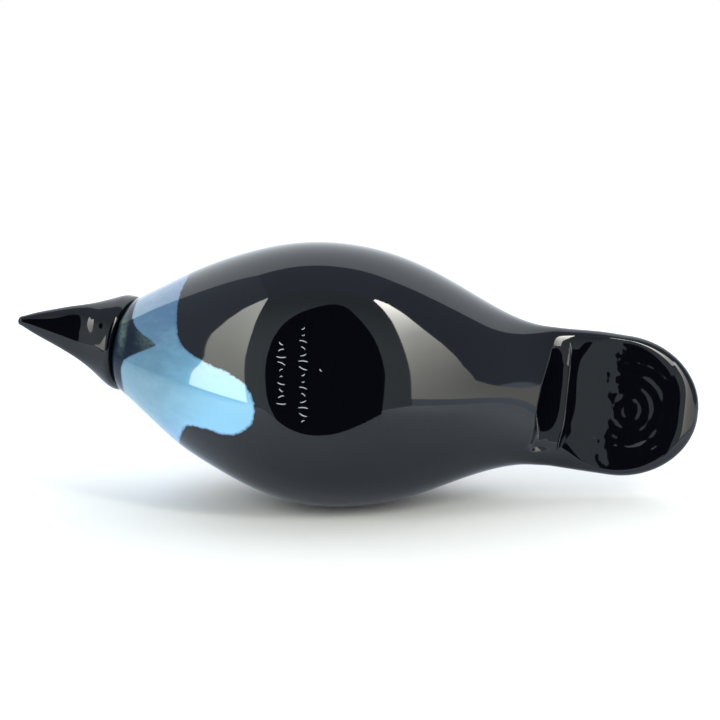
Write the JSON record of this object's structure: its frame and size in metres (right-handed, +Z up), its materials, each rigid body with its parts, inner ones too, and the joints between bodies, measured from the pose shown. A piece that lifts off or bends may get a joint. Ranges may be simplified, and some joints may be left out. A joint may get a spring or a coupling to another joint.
{
  "type": "glass bird figurine",
  "caption": "Black glass bird with a plump body, a drawn head and beak, and a flat pressed tail; it stands on its flattened base.",
  "frame": {"origin": "middle of the flattened base, on its flat face", "axes": "+Z up from the base; the beak points to -X, the tail to +X, and the bird's left side is -Y"},
  "size_m": [0.2372, 0.09, 0.0811],
  "materials": {
    "body_glass": "glossy opaque black glass, with a pale blue lustre patch over the throat and a dark teal neck",
    "head_glass": "glossy opaque black glass"
  },
  "bodies": {
    "root": {"body": "body_glass", "head": "head_glass"}
  },
  "joints": []
}
